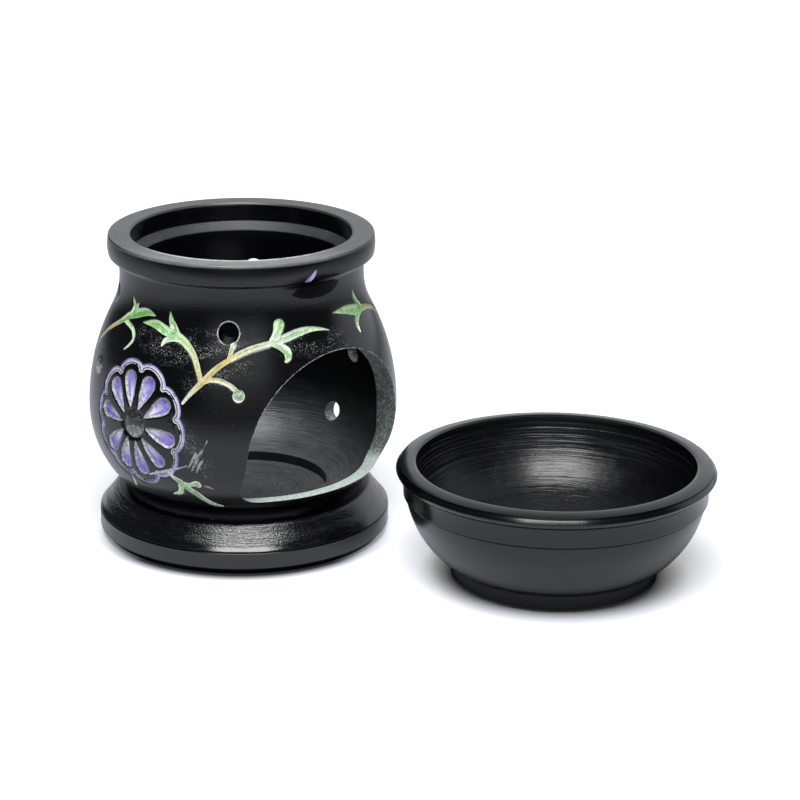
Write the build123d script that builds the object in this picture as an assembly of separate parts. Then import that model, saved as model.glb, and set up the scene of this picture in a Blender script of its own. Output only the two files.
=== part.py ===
from build123d import *
import os
from math import sqrt

# An essential oil burner turned from soapstone, with its loose oil bowl. All lengths are in millimetres.
# +Z is up and the table is the plane Z = 0. The burner's axis is the Z axis, and its candle opening
# faces -Y. The bowl stands on the table in front of the burner, where it is put to be filled.

# Base: a turned disc with a shallow well for the candle
base_height = 13.6
base_radius = 42.0
base_band_height = 5.0
base_bevel_height = 2.0
base_bevel_inset = 1.7
base_top_radius = 36.0
base_ovolo_bulge = 0.8
base_arris_round = 0.3
candle_hole_radius = 24.0
candle_well_depth = 2.8

# Pot, outside: foot groove, round belly, drawn-in neck and flat rim band
burner_height = 88.5
waist_inset = 2.4
waist_cove_depth = 1.0
waist_arris_inset = 7.5
waist_arris_rise = 4.6
belly_radius = 44.3
belly_height = 38.0
belly_arc_share = 0.738
neck_radius = 34.7
neck_drop = 5.4
rim_overhang = 3.3
rim_ledge = 0.9
rim_band_height = 6.1
rim_arris_round = 0.5

# Pot, inside: rebate that takes the bowl's foot, sloping seat, throat and chamber
rim_width = 6.6
rebate_depth = 5.5
seat_drop = 2.2
wall_thickness = 5.8
waist_wall_thickness = 3.8
chamber_side_height = 7.0
chamber_floor_bulge = 0.7

# Candle opening: an arch with a flat sill
window_width = 56.4
window_bottom = 20.5
window_corner = 6.0
window_side_height = 7.2

# Air vents, drilled by hand through the wall, each at its own bearing from -Y towards +X. Four are
# drilled in the neck, below the rim band, and three above or below the belly's widest ring.
vent_radius = 2.8
front_left_vent_bearing, front_left_vent_drop = -46.8, 13.3
front_right_vent_bearing, front_right_vent_drop = 51.8, 12.4
back_left_vent_bearing, back_left_vent_drop = -123.2, 10.4
back_right_vent_bearing, back_right_vent_drop = 132.3, 13.1
left_vent_bearing, left_vent_rise = -113.5, 15.3
right_vent_bearing, right_vent_rise = 80.5, 7.4
low_vent_bearing, low_vent_fall = 94.0, 12.8

# Bowl, outside: ring foot, flank, plain band and rolled lip
bowl_height = 33.6
foot_clearance = 2.5
foot_height = 5.3
foot_bevel_height = 1.2
foot_bevel_inset = 2.5
flank_overhang = 1.0
flank_bulge = 2.3
shoulder_radius = 41.7
band_step = 0.6
band_flare = 0.7
band_height = 5.8
band_hollow = 0.2
lip_height = 3.6
lip_overhang = 1.4
lip_middle_drop = 2.2
lip_rounding = 1.8

# Bowl, inside: short upright mouth, curved wall and dished floor
lip_width = 3.7
mouth_side_height = 0.9
bowl_depth = 24.6
bowl_wall_arc_share = 0.844
bowl_arris_round = 0.4

# Where the bowl stands: its lip this far from the belly, at this bearing
bowl_gap = 7.9
bowl_bearing = 22.4

# Cuts run past what they cut by this much, and edges are picked to within this distance
overrun = 1.0
pick_distance = 0.01


def arc_point(centre, radius, height, side):
    """Point of a circle about centre at a height, on its outer (1) or inner (-1) side."""
    across = sqrt(radius**2 - (height - centre[1]) ** 2)
    return (centre[0] + side * across, height)


def flank_arc(centre, radius, low, high, side):
    """Arc of that circle from one height to another."""
    middle = (low + high) / 2
    return ThreePointArc(
        arc_point(centre, radius, low, side),
        arc_point(centre, radius, middle, side),
        arc_point(centre, radius, high, side),
    )


def turned(*outline):
    """Solid turned about the Z axis from edges drawn as (distance from the axis, height)."""
    face = Plane.XZ * make_face(outline)
    return revolve(face, Axis.Z)


def rings(solid, *places):
    """Round edges of a turned solid at the given (radius, height) places."""
    found = []
    for radius, height in places:
        for edge in solid.edges().filter_by(GeomType.CIRCLE):
            near_radius = abs(edge.radius - radius) < pick_distance
            near_height = abs(edge.arc_center.Z - height) < pick_distance
            if near_radius and near_height:
                found.append(edge)
    return found


def upright_arc(narrowing, rise):
    """Radius of an arc that starts upright and comes in by narrowing over a rise."""
    return (narrowing**2 + rise**2) / (2 * narrowing)


# Radii, heights and arc centres that follow from the sizes above
base_band_top = base_bevel_height + base_band_height
rim_radius = neck_radius + rim_overhang
rim_bottom = burner_height - rim_band_height
rim_cove_radius = rim_overhang - rim_ledge
rebate_radius = rim_radius - rim_width
seat_top = burner_height - rebate_depth
seat_bottom = seat_top - seat_drop
waist_arris_radius = belly_radius - waist_arris_inset
waist_arris_height = base_height + waist_arris_rise
neck_height = rim_bottom - neck_drop
neck_top = rim_bottom - rim_cove_radius
belly_rise = neck_height - belly_height
arc_sum = upright_arc(belly_radius - neck_radius, belly_rise)
belly_upper_arc = arc_sum * belly_arc_share
belly_lower_arc = upright_arc(waist_arris_inset, belly_height - waist_arris_height)
neck_arc = arc_sum - belly_upper_arc
lower_centre = (belly_radius - belly_lower_arc, belly_height)
upper_centre = (belly_radius - belly_upper_arc, belly_height)
neck_centre = (neck_radius + neck_arc, neck_height)
chamber_radius = belly_radius - wall_thickness
band_low_radius = shoulder_radius + band_step
band_high_radius = band_low_radius + band_flare
lip_radius = band_high_radius + lip_overhang


def base():
    """Disc under the pot: bevelled foot, straight band, ovolo and the candle's well."""
    well_floor = base_height - candle_well_depth
    heel = (base_radius - base_bevel_inset, 0)
    band_low = (base_radius, base_bevel_height)
    band_high = (base_radius, base_band_top)
    top_edge = (base_top_radius, base_height)
    well_edge = (candle_hole_radius, base_height)
    well_corner = (candle_hole_radius, well_floor)
    disc = turned(
        Line((0, 0), heel),
        Line(heel, band_low),
        Line(band_low, band_high),
        SagittaArc(band_high, top_edge, -base_ovolo_bulge),
        Line(top_edge, well_edge),
        Line(well_edge, well_corner),
        Line(well_corner, (0, well_floor)),
        Line((0, well_floor), (0, 0)),
    )
    return fillet(rings(disc, band_low, band_high), base_arris_round)


def pot_blank():
    """The pot as it comes off the lathe, before the opening and the vents are cut."""
    join_share = belly_rise / arc_sum
    outer_join = belly_height + belly_upper_arc * join_share
    inner_upper_arc = belly_upper_arc - wall_thickness
    inner_neck_arc = neck_arc + wall_thickness
    inner_join = belly_height + inner_upper_arc * join_share
    waist = (waist_arris_radius - waist_inset, base_height)
    arris = (waist_arris_radius, waist_arris_height)
    neck_end = arc_point(neck_centre, neck_arc, neck_top, -1)
    cove_centre = (neck_end[0] + rim_cove_radius, neck_top)
    cove_end = (cove_centre[0], rim_bottom)
    cove_reach = rim_cove_radius / sqrt(2)
    cove_middle = (cove_centre[0] - cove_reach, cove_centre[1] + cove_reach)
    rim_low = (rim_radius, rim_bottom)
    rim_high = (rim_radius, burner_height)
    mouth = (rebate_radius, burner_height)
    seat_edge = (rebate_radius, seat_top)
    throat = arc_point(neck_centre, inner_neck_arc, seat_bottom, -1)
    side_top = (chamber_radius, belly_height)
    side_foot = (chamber_radius, belly_height - chamber_side_height)
    corner = (waist_arris_radius - waist_wall_thickness, waist_arris_height)
    corner_arc = upright_arc(side_foot[0] - corner[0], side_foot[1] - corner[1])
    corner_centre = (chamber_radius - corner_arc, side_foot[1])
    candle_hole = (candle_hole_radius, base_height)
    blank = turned(
        SagittaArc(arris, waist, -waist_cove_depth),
        flank_arc(lower_centre, belly_lower_arc, waist_arris_height, belly_height, 1),
        flank_arc(upper_centre, belly_upper_arc, belly_height, outer_join, 1),
        flank_arc(neck_centre, neck_arc, outer_join, neck_top, -1),
        ThreePointArc(neck_end, cove_middle, cove_end),
        Line(cove_end, rim_low),
        Line(rim_low, rim_high),
        Line(rim_high, mouth),
        Line(mouth, seat_edge),
        Line(seat_edge, throat),
        flank_arc(neck_centre, inner_neck_arc, seat_bottom, inner_join, -1),
        flank_arc(upper_centre, inner_upper_arc, inner_join, belly_height, 1),
        Line(side_top, side_foot),
        flank_arc(corner_centre, corner_arc, side_foot[1], corner[1], 1),
        SagittaArc(corner, candle_hole, chamber_floor_bulge),
        Line(candle_hole, waist),
    )
    return fillet(rings(blank, rim_low, rim_high, mouth), rim_arris_round)


def window_cutter():
    """Block of the candle opening's shape, from the burner's axis out past the belly in front."""
    half = window_width / 2
    corner_reach = window_corner / sqrt(2)
    sill_end = half - window_corner
    corner_top = window_bottom + window_corner
    spring = corner_top + window_side_height
    edges = [
        Line((-sill_end, window_bottom), (sill_end, window_bottom)),
        ThreePointArc((-half, spring), (0, spring + half), (half, spring)),
    ]
    for side in (-1, 1):
        corner_middle = (side * (sill_end + corner_reach), corner_top - corner_reach)
        edges += [
            ThreePointArc((side * sill_end, window_bottom), corner_middle, (side * half, corner_top)),
            Line((side * half, corner_top), (side * half, spring)),
        ]
    face = Plane.XZ * make_face(edges)
    return extrude(face, belly_radius + overrun)


def vent_drill(bearing, height):
    """Drill for one vent, lying level and pointing out from the axis."""
    drill = Cylinder(vent_radius, belly_radius + overrun, align=(Align.CENTER, Align.CENTER, Align.MIN))
    return Pos(0, 0, height) * Rot(Z=bearing) * Rot(X=90) * drill


def pot():
    """Turned pot with its candle opening and air vents."""
    vents = [
        (front_left_vent_bearing, rim_bottom - front_left_vent_drop),
        (front_right_vent_bearing, rim_bottom - front_right_vent_drop),
        (back_left_vent_bearing, rim_bottom - back_left_vent_drop),
        (back_right_vent_bearing, rim_bottom - back_right_vent_drop),
        (left_vent_bearing, belly_height + left_vent_rise),
        (right_vent_bearing, belly_height + right_vent_rise),
        (low_vent_bearing, belly_height - low_vent_fall),
    ]
    body = pot_blank() - window_cutter()
    for bearing, height in vents:
        body -= vent_drill(bearing, height)
    return body


def bowl():
    """Oil bowl about its own axis: its foot drops into the pot's rebate."""
    foot_radius = rebate_radius - foot_clearance
    heel = (foot_radius - foot_bevel_inset, 0)
    foot_low = (foot_radius, foot_bevel_height)
    foot_high = (foot_radius, foot_height)
    flank_low = (foot_radius + flank_overhang, foot_height)
    band_bottom = bowl_height - lip_height - band_height
    shoulder = (shoulder_radius, band_bottom)
    band_low = (band_low_radius, band_bottom)
    band_high = (band_high_radius, band_bottom + band_height)
    lip_outside = (lip_radius, bowl_height - lip_middle_drop)
    lip_top = (lip_radius - lip_rounding, bowl_height)
    mouth = (lip_top[0] - lip_width, bowl_height)
    wall_foot = bowl_depth - mouth_side_height
    wall_arc = wall_foot * bowl_wall_arc_share
    wall_centre = (mouth[0] - wall_arc, bowl_height - mouth_side_height)
    floor_height = bowl_height - bowl_depth
    floor_reach = wall_foot**2 + wall_centre[0] ** 2 - wall_arc**2
    floor_arc = floor_reach / (2 * (wall_foot - wall_arc))
    floor_centre = (0, floor_height + floor_arc)
    join_share = floor_arc / (floor_arc - wall_arc)
    join_radius = wall_centre[0] * join_share
    join_height = floor_centre[1] - (floor_centre[1] - wall_centre[1]) * join_share
    blank = turned(
        Line((0, 0), heel),
        Line(heel, foot_low),
        Line(foot_low, foot_high),
        Line(foot_high, flank_low),
        SagittaArc(flank_low, shoulder, -flank_bulge),
        Line(shoulder, band_low),
        SagittaArc(band_low, band_high, band_hollow),
        ThreePointArc(band_high, lip_outside, lip_top),
        Line(lip_top, mouth),
        Line(mouth, (mouth[0], wall_centre[1])),
        flank_arc(wall_centre, wall_arc, wall_centre[1], join_height, 1),
        RadiusArc((join_radius, join_height), (0, floor_height), floor_arc),
        Line((0, floor_height), (0, 0)),
    )
    return fillet(rings(blank, mouth), bowl_arris_round)


def standing_bowl():
    """Bowl set down on the table in front of the burner."""
    bowl_distance = belly_radius + bowl_gap + lip_radius
    return Rot(Z=bowl_bearing) * Pos(0, -bowl_distance, 0) * bowl()


os.makedirs("parts", exist_ok=True)
export_step(base(), "parts/burner_base.step")
export_step(pot(), "parts/burner_pot.step")
export_step(standing_bowl(), "parts/oil_bowl.step")
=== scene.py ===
import random
from math import atan2, cos, dist, hypot, pi, radians, sin, sqrt, tau

import bpy
import numpy as np
from mathutils import Matrix


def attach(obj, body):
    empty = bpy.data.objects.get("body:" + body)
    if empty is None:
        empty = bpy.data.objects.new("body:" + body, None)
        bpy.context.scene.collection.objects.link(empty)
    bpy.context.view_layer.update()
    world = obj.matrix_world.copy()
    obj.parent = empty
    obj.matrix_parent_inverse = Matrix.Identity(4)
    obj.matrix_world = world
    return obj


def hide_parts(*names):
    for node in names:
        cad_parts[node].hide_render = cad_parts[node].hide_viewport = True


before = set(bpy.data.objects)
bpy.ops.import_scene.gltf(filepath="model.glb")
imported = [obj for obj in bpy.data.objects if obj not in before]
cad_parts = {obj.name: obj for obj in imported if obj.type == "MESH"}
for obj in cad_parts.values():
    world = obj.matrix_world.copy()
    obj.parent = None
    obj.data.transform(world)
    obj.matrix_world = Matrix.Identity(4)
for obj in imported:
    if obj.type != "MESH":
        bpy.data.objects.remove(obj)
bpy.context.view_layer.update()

mm = 0.001
groove_seed = 7
carving_seed = 11
rng = random.Random(groove_seed)

# Sizes in millimetres: the CAD model's, and finer ones for edges, bulges and the lip's beads
base_height = 13.6
base_radius = 42.0
base_band_top = 7.0
base_bevel_height = 2.0
base_bevel_inset = 1.7
base_top_radius = 36.0
base_knee = (37.4, 12.8)
base_knee_bulge = 0.1
base_cone_hollow = 0.12
notch_size = 0.3
candle_hole_radius = 24.0
candle_well_depth = 2.8
burner_height = 88.5
waist_radius = 34.4
waist_cove_depth = 1.0
waist_arris = (36.8, 18.2)
belly_radius = 44.3
belly_height = 38.0
belly_arc_share = 0.738
neck_radius = 34.7
neck_height = 77.0
rim_radius = 38.0
rim_bottom = 82.4
rim_cove_radius = 2.4
rim_side_bulge = 0.35
rebate_radius = 31.4
rebate_depth = 5.5
seat_drop = 2.2
wall_thickness = 5.8
waist_wall_thickness = 3.8
chamber_side_height = 7.0
chamber_floor_bulge = 0.7
window_width = 56.4
window_bottom = 20.5
window_corner = 6.0
window_side_height = 7.2
vent_radius = 2.8
bowl_height = 33.6
foot_radius = 28.9
foot_height = 5.3
foot_bevel_height = 1.2
foot_bevel_inset = 2.5
flank_overhang = 1.0
flank_bulge = 2.3
shoulder_radius = 41.7
band_step = 0.6
band_flare = 0.7
band_height = 5.8
band_hollow = 0.2
lip_height = 3.6
lip_overhang = 1.4
lip_middle_drop = 2.2
lip_rounding = 1.8
lip_width = 3.7
lip_edge_drop = 0.35
lip_edge_width = 0.9
lip_roll = (4.4, 0.6)
lip_roll_bulge = 0.12
lip_bead_top = (4.7, 1.2)
lip_bead_low = (5.4, 1.9)
lip_underside_bulge = 0.35
mouth_side_height = 0.9
bowl_depth = 24.6
bowl_wall_arc_share = 0.844
wall_middle_turn = radians(28)
bowl_distance = 96.6
bowl_bearing = 22.4
bowl_turn = radians(bowl_bearing)
bowl_centre = (bowl_distance * sin(bowl_turn) * mm, -bowl_distance * cos(bowl_turn) * mm, 0)

# Air vents as (bearing, height)
front_left_vent = (-46.8, 69.1)
front_right_vent = (51.8, 70.0)
vents = [
    front_left_vent,
    front_right_vent,
    (-123.2, 72.0),
    (132.3, 69.3),
    (-113.5, 53.3),
    (80.5, 45.4),
    (94.0, 25.2),
]

# Mesh sizes
turn_steps = 160
row_spacing = 1.6
inner_row_spacing = 0.8
groove_spacing = 0.45
wall_spacing = 0.1
edge_spacing = 0.5
arris_round = 0.45
arris_steps = 4
vent_sides = 32
stage_sides = 96
weld = 0.002
overrun = 2.0
cutter_start = 20.0
pot_crease = 40
other_crease = 30

# Depths of the grooves that the lathe's tool leaves
rim_grooves = 0.012
band_grooves = 0.01
chamber_grooves = 0.02
seat_grooves = 0.03
well_grooves = 0.015
cone_grooves = 0.012
base_band_grooves = 0.006
dish_grooves = 0.025
low_wall_grooves = 0.028
high_wall_grooves = 0.06
flank_grooves = 0.008

# Camera, at the photograph's place: lengths in millimetres, turns in degrees
camera_bearing = -40.715
camera_distance = 745.08
camera_height = 287.38
camera_heading = -44.2
camera_pitch = 18.532
camera_roll = 0.409
camera_lens = 121.98
sensor_width = 36


def toward(place, other, length):
    """The place a length away from one place towards another."""
    share = length / dist(place, other)
    return tuple(a + (b - a) * share for a, b in zip(place, other))


def straight(start, end, spacing):
    """Places on a straight run, both ends included."""
    count = max(1, round(dist(start, end) / spacing))
    length = dist(start, end) / count
    return [toward(start, end, length * step) if step else start for step in range(count)] + [end]


def around(centre, start, end, spacing):
    """Places on the shorter arc about a centre, both ends included."""
    radius = dist(centre, start)
    first = atan2(start[1] - centre[1], start[0] - centre[0])
    turn = atan2(end[1] - centre[1], end[0] - centre[0]) - first
    turn = (turn + pi) % tau - pi
    count = max(1, round(abs(turn) * radius / spacing))
    angles = [first + turn * step / count for step in range(1, count)]
    middle = [(centre[0] + radius * cos(a), centre[1] + radius * sin(a)) for a in angles]
    return [start] + middle + [end]


def centre_through(start, middle, end):
    """Centre of the circle through three places."""
    ax, ay = middle[0] - start[0], middle[1] - start[1]
    bx, by = end[0] - start[0], end[1] - start[1]
    cross = 2 * (ax * by - ay * bx)
    a_square = ax * ax + ay * ay
    b_square = bx * bx + by * by
    across = (by * a_square - ay * b_square) / cross
    up = (ax * b_square - bx * a_square) / cross
    return (start[0] + across, start[1] + up)


def bowed(start, end, bulge, spacing):
    """Places on an arc that bows by bulge to the left of the way from start to end."""
    length = dist(start, end)
    left = (-(end[1] - start[1]) / length, (end[0] - start[0]) / length)
    middle = tuple((a + b) / 2 + side * bulge for a, b, side in zip(start, end, left))
    return around(centre_through(start, middle, end), start, end, spacing)


def grooved(run, depth):
    """The run with its inner places cut in a little, as a lathe tool leaves them."""
    places = [run[0]]
    for before, place, after in zip(run, run[1:], run[2:]):
        length = dist(before, after)
        left = (-(after[1] - before[1]) / length, (after[0] - before[0]) / length)
        shift = rng.uniform(-2 * depth, 0)
        places.append((place[0] + left[0] * shift, place[1] + left[1] * shift))
    return places + [run[-1]]


def joined(*runs):
    """One outline from runs that each start where the last one ends."""
    outline = list(runs[0])
    for run in runs[1:]:
        outline += run[1:]
    return outline


def eased(outline, size, *corners):
    """The outline with some of its corners rounded off by a size."""
    for corner in corners:
        at = min(range(len(outline)), key=lambda i: dist(outline[i], corner))
        before = toward(outline[at], outline[at - 1], size)
        after = toward(outline[at], outline[(at + 1) % len(outline)], size)
        curve = []
        for step in range(arris_steps + 1):
            share = step / arris_steps
            first = toward_share(before, outline[at], share)
            second = toward_share(outline[at], after, share)
            curve.append(toward_share(first, second, share))
        outline = outline[:at] + curve + outline[at + 1:]
    return outline


def toward_share(place, other, share):
    """The place a share of the way from one place to another."""
    return tuple(a + (b - a) * share for a, b in zip(place, other))


def upright_arc(narrowing, rise):
    """Radius of an arc that starts upright and comes in by narrowing over a rise."""
    return (narrowing**2 + rise**2) / (2 * narrowing)


def start_piece(name, primitive, **settings):
    """Adds a primitive as a new piece, selected all over in edit mode."""
    bpy.ops.object.select_all(action="DESELECT")
    getattr(bpy.ops.mesh, "primitive_" + primitive + "_add")(**settings)
    piece = bpy.context.object
    piece.name = name
    piece.data.name = name
    bpy.context.tool_settings.mesh_select_mode = (True, False, False)
    bpy.ops.object.mode_set(mode="EDIT")
    bpy.ops.mesh.select_all(action="SELECT")
    return piece


def finish_piece(piece):
    """Leaves edit mode with the piece's place in its mesh."""
    bpy.ops.object.mode_set(mode="OBJECT")
    bpy.ops.object.transform_apply(location=True, rotation=True, scale=True)
    return piece


def pick(*pieces):
    """Selects these pieces alone and makes the first of them active."""
    bpy.ops.object.select_all(action="DESELECT")
    for piece in pieces:
        piece.select_set(True)
    bpy.context.view_layer.objects.active = pieces[0]


def draw_outline(outline):
    """Draws an outline of (radius, height) in the XZ plane, from a plane shrunk to its first place."""
    bpy.ops.mesh.merge(type="CENTER")
    bpy.ops.transform.translate(value=(outline[0][0] * mm, 0, outline[0][1] * mm))
    for before, after in zip(outline, outline[1:]):
        step = ((after[0] - before[0]) * mm, 0, (after[1] - before[1]) * mm)
        bpy.ops.mesh.extrude_vertices_move(TRANSFORM_OT_translate={"value": step})
    bpy.ops.mesh.select_all(action="SELECT")


def turned(name, outline):
    """A solid turned about the Z axis from an outline that is closed or has both ends on the axis."""
    piece = start_piece(name, "plane", size=mm)
    draw_outline(outline)
    bpy.ops.mesh.spin(steps=turn_steps, angle=tau, center=(0, 0, 0), axis=(0, 0, 1))
    bpy.ops.mesh.select_all(action="SELECT")
    bpy.ops.mesh.remove_doubles(threshold=weld * mm)
    bpy.ops.mesh.normals_make_consistent(inside=False)
    return finish_piece(piece)


# Arc centres and other places that follow from the sizes
arc_sum = upright_arc(belly_radius - neck_radius, neck_height - belly_height)
upper_arc = arc_sum * belly_arc_share
neck_arc = arc_sum - upper_arc
lower_arc = upright_arc(belly_radius - waist_arris[0], belly_height - waist_arris[1])
lower_centre = (belly_radius - lower_arc, belly_height)
upper_centre = (belly_radius - upper_arc, belly_height)
neck_centre = (neck_radius + neck_arc, neck_height)
chamber_radius = belly_radius - wall_thickness


def level(centre, radius, height, side):
    """Place of a circle at a height, on its outer (1) or inner (-1) side."""
    return (centre[0] + side * sqrt(radius**2 - (height - centre[1]) ** 2), height)


neck_end = level(neck_centre, neck_arc, rim_bottom - rim_cove_radius, -1)
cove_centre = (neck_end[0] + rim_cove_radius, neck_end[1])
cove_end = (cove_centre[0], rim_bottom)


def belly_runs(spacing):
    """Outer wall from the cove under the rim down to the arris over the waist."""
    join_height = belly_height + upper_arc * (neck_height - belly_height) / arc_sum
    join = level(upper_centre, upper_arc, join_height, 1)
    widest = (belly_radius, belly_height)
    return [
        around(neck_centre, neck_end, join, spacing),
        around(upper_centre, join, widest, spacing),
        around(lower_centre, widest, waist_arris, spacing),
    ]


def pot_outline():
    """Outline of the pot, down its outside and up its inside."""
    rim_low = (rim_radius - rim_side_bulge, rim_bottom)
    rim_high = (rim_radius - rim_side_bulge, burner_height)
    mouth = (rebate_radius, burner_height)
    waist = (waist_radius, base_height)
    hole = (candle_hole_radius, base_height)
    corner = (waist_arris[0] - waist_wall_thickness, waist_arris[1])
    side_foot = (chamber_radius, belly_height - chamber_side_height)
    side_top = (chamber_radius, belly_height)
    corner_arc = upright_arc(side_foot[0] - corner[0], side_foot[1] - corner[1])
    corner_centre = (chamber_radius - corner_arc, side_foot[1])
    join_share = (neck_height - belly_height) / arc_sum
    inner_join_height = belly_height + (upper_arc - wall_thickness) * join_share
    inner_join = level(upper_centre, upper_arc - wall_thickness, inner_join_height, 1)
    seat_edge = (rebate_radius, burner_height - rebate_depth)
    throat = level(neck_centre, neck_arc + wall_thickness, seat_edge[1] - seat_drop, -1)
    outline = joined(
        grooved(straight(mouth, rim_high, groove_spacing), rim_grooves),
        grooved(bowed(rim_high, rim_low, rim_side_bulge, inner_row_spacing), band_grooves),
        straight(rim_low, cove_end, groove_spacing),
        around(cove_centre, cove_end, neck_end, groove_spacing),
        *belly_runs(row_spacing),
        bowed(waist_arris, waist, -waist_cove_depth, groove_spacing),
        straight(waist, hole, row_spacing),
        grooved(bowed(hole, corner, -chamber_floor_bulge, groove_spacing), chamber_grooves),
        grooved(around(corner_centre, corner, side_foot, inner_row_spacing), chamber_grooves),
        grooved(straight(side_foot, side_top, inner_row_spacing), chamber_grooves),
        grooved(around(upper_centre, side_top, inner_join, inner_row_spacing), chamber_grooves),
        grooved(around(neck_centre, inner_join, throat, inner_row_spacing), chamber_grooves),
        grooved(straight(throat, seat_edge, groove_spacing), seat_grooves),
        grooved(straight(seat_edge, mouth, inner_row_spacing), band_grooves),
    )
    outline = eased(outline, arris_round, rim_high, rim_low)
    outline = eased(outline, arris_round / 2, waist_arris, seat_edge)
    last = [toward(mouth, outline[-2], arris_round), toward(mouth, rim_high, arris_round)]
    return [last[1]] + outline[1:-1] + last


def base_outline():
    """Outline of the base, out over its top and in under its foot."""
    well_floor = base_height - candle_well_depth
    well_corner = (candle_hole_radius, well_floor)
    well_edge = (candle_hole_radius, base_height)
    top_edge = (base_top_radius, base_height)
    band_high = (base_radius, base_band_top)
    band_low = (base_radius, base_bevel_height)
    heel = (base_radius - base_bevel_inset, 0)
    notch = (base_radius - notch_size, base_band_top - notch_size)
    band_start = (base_radius, base_band_top - 2 * notch_size)
    outline = joined(
        grooved(straight((0, well_floor), well_corner, groove_spacing), well_grooves),
        straight(well_corner, well_edge, inner_row_spacing),
        straight(well_edge, top_edge, row_spacing),
        bowed(top_edge, base_knee, base_knee_bulge, groove_spacing),
        grooved(bowed(base_knee, band_high, -base_cone_hollow, groove_spacing), cone_grooves),
        [band_high, notch, band_start],
        grooved(straight(band_start, band_low, inner_row_spacing), base_band_grooves),
        straight(band_low, heel, inner_row_spacing),
        straight(heel, (0, 0), row_spacing),
    )
    return eased(outline, arris_round / 3, base_knee, band_high, band_low, heel)


def bowl_outline():
    """Outline of the bowl about its own axis, out up its inside and in under its foot."""
    flank_low = (foot_radius + flank_overhang, foot_height)
    foot_high = (foot_radius, foot_height)
    foot_low = (foot_radius, foot_bevel_height)
    heel = (foot_radius - foot_bevel_inset, 0)
    band_bottom = bowl_height - lip_height - band_height
    shoulder = (shoulder_radius, band_bottom)
    band_low = (shoulder_radius + band_step, band_bottom)
    band_high = (band_low[0] + band_flare, band_bottom + band_height)
    lip_outside = (band_high[0] + lip_overhang, bowl_height - lip_middle_drop)
    lip_top = (lip_outside[0] - lip_rounding, bowl_height)
    mouth = (lip_top[0] - lip_width, bowl_height)
    wall_foot = bowl_depth - mouth_side_height
    wall_arc = wall_foot * bowl_wall_arc_share
    wall_centre = (mouth[0] - wall_arc, bowl_height - mouth_side_height)
    wall_top = (mouth[0], wall_centre[1])
    floor = (0, bowl_height - bowl_depth)
    floor_reach = wall_foot**2 + wall_centre[0] ** 2 - wall_arc**2
    floor_arc = floor_reach / (2 * (wall_foot - wall_arc))
    floor_centre = (0, floor[1] + floor_arc)
    join = toward(floor_centre, wall_centre, floor_arc)
    edge = (mouth[0], bowl_height - lip_edge_drop)
    crest = (mouth[0] + lip_edge_width, bowl_height)
    roll, bead_top, bead_low = [
        (mouth[0] + out, bowl_height - drop) for out, drop in (lip_roll, lip_bead_top, lip_bead_low)
    ]
    wall_middle = (
        wall_centre[0] + wall_arc * cos(wall_middle_turn),
        wall_centre[1] - wall_arc * sin(wall_middle_turn),
    )
    outline = joined(
        grooved(around(floor_centre, floor, join, groove_spacing), dish_grooves),
        grooved(around(wall_centre, join, wall_middle, groove_spacing), low_wall_grooves),
        grooved(around(wall_centre, wall_middle, wall_top, groove_spacing), high_wall_grooves),
        straight(wall_top, edge, groove_spacing),
        bowed(edge, crest, lip_edge_drop / 4, groove_spacing / 2),
        bowed(crest, roll, lip_roll_bulge, groove_spacing),
        [roll, bead_top, bead_low, lip_outside],
        bowed(lip_outside, band_high, lip_underside_bulge, groove_spacing),
        grooved(bowed(band_high, band_low, -band_hollow, inner_row_spacing), band_grooves),
        [band_low, shoulder],
        grooved(bowed(shoulder, flank_low, flank_bulge, inner_row_spacing), flank_grooves),
        [flank_low, foot_high],
        straight(foot_high, foot_low, inner_row_spacing),
        straight(foot_low, heel, inner_row_spacing),
        straight(heel, (0, 0), row_spacing),
    )
    return eased(outline, arris_round / 2, band_low, flank_low)


# The candle opening and the vents

def window_places(spacing):
    """Outline of the candle opening as (across, height), from the sill's left end over the arch."""
    half = window_width / 2
    corner_top = window_bottom + window_corner
    spring = corner_top + window_side_height
    sill = half - window_corner
    return joined(
        around((-sill, corner_top), (-sill, window_bottom), (-half, corner_top), spacing),
        straight((-half, corner_top), (-half, spring), spacing),
        around((0, spring), (-half, spring), (0, spring + half), spacing),
        around((0, spring), (0, spring + half), (half, spring), spacing),
        straight((half, spring), (half, corner_top), spacing),
        around((sill, corner_top), (half, corner_top), (sill, window_bottom), spacing),
        straight((sill, window_bottom), (-sill, window_bottom), spacing),
    )


def window_cutter():
    """Block of the opening's shape, from inside the chamber out past the belly."""
    cutter = start_piece("window_cutter", "plane", size=mm)
    draw_outline(window_places(row_spacing))
    bpy.ops.mesh.remove_doubles(threshold=weld * mm)
    bpy.ops.mesh.edge_face_add()
    bpy.ops.transform.translate(value=(0, -cutter_start * mm, 0))
    depth = belly_radius + overrun - cutter_start
    bpy.ops.mesh.extrude_region_move(TRANSFORM_OT_translate={"value": (0, -depth * mm, 0)})
    bpy.ops.mesh.select_all(action="SELECT")
    bpy.ops.mesh.normals_make_consistent(inside=False)
    return finish_piece(cutter)


def vent_cutter(bearing, height):
    """Drill for one vent, lying level, from inside the chamber out past the belly."""
    length = belly_radius + overrun - cutter_start
    middle = cutter_start + length / 2
    out = (sin(radians(bearing)) * middle, -cos(radians(bearing)) * middle)
    cutter = start_piece(
        "vent_cutter",
        "cylinder",
        vertices=vent_sides,
        radius=vent_radius * mm,
        depth=length * mm,
        location=(out[0] * mm, out[1] * mm, height * mm),
        rotation=(pi / 2, 0, radians(bearing)),
    )
    return finish_piece(cutter)


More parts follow.
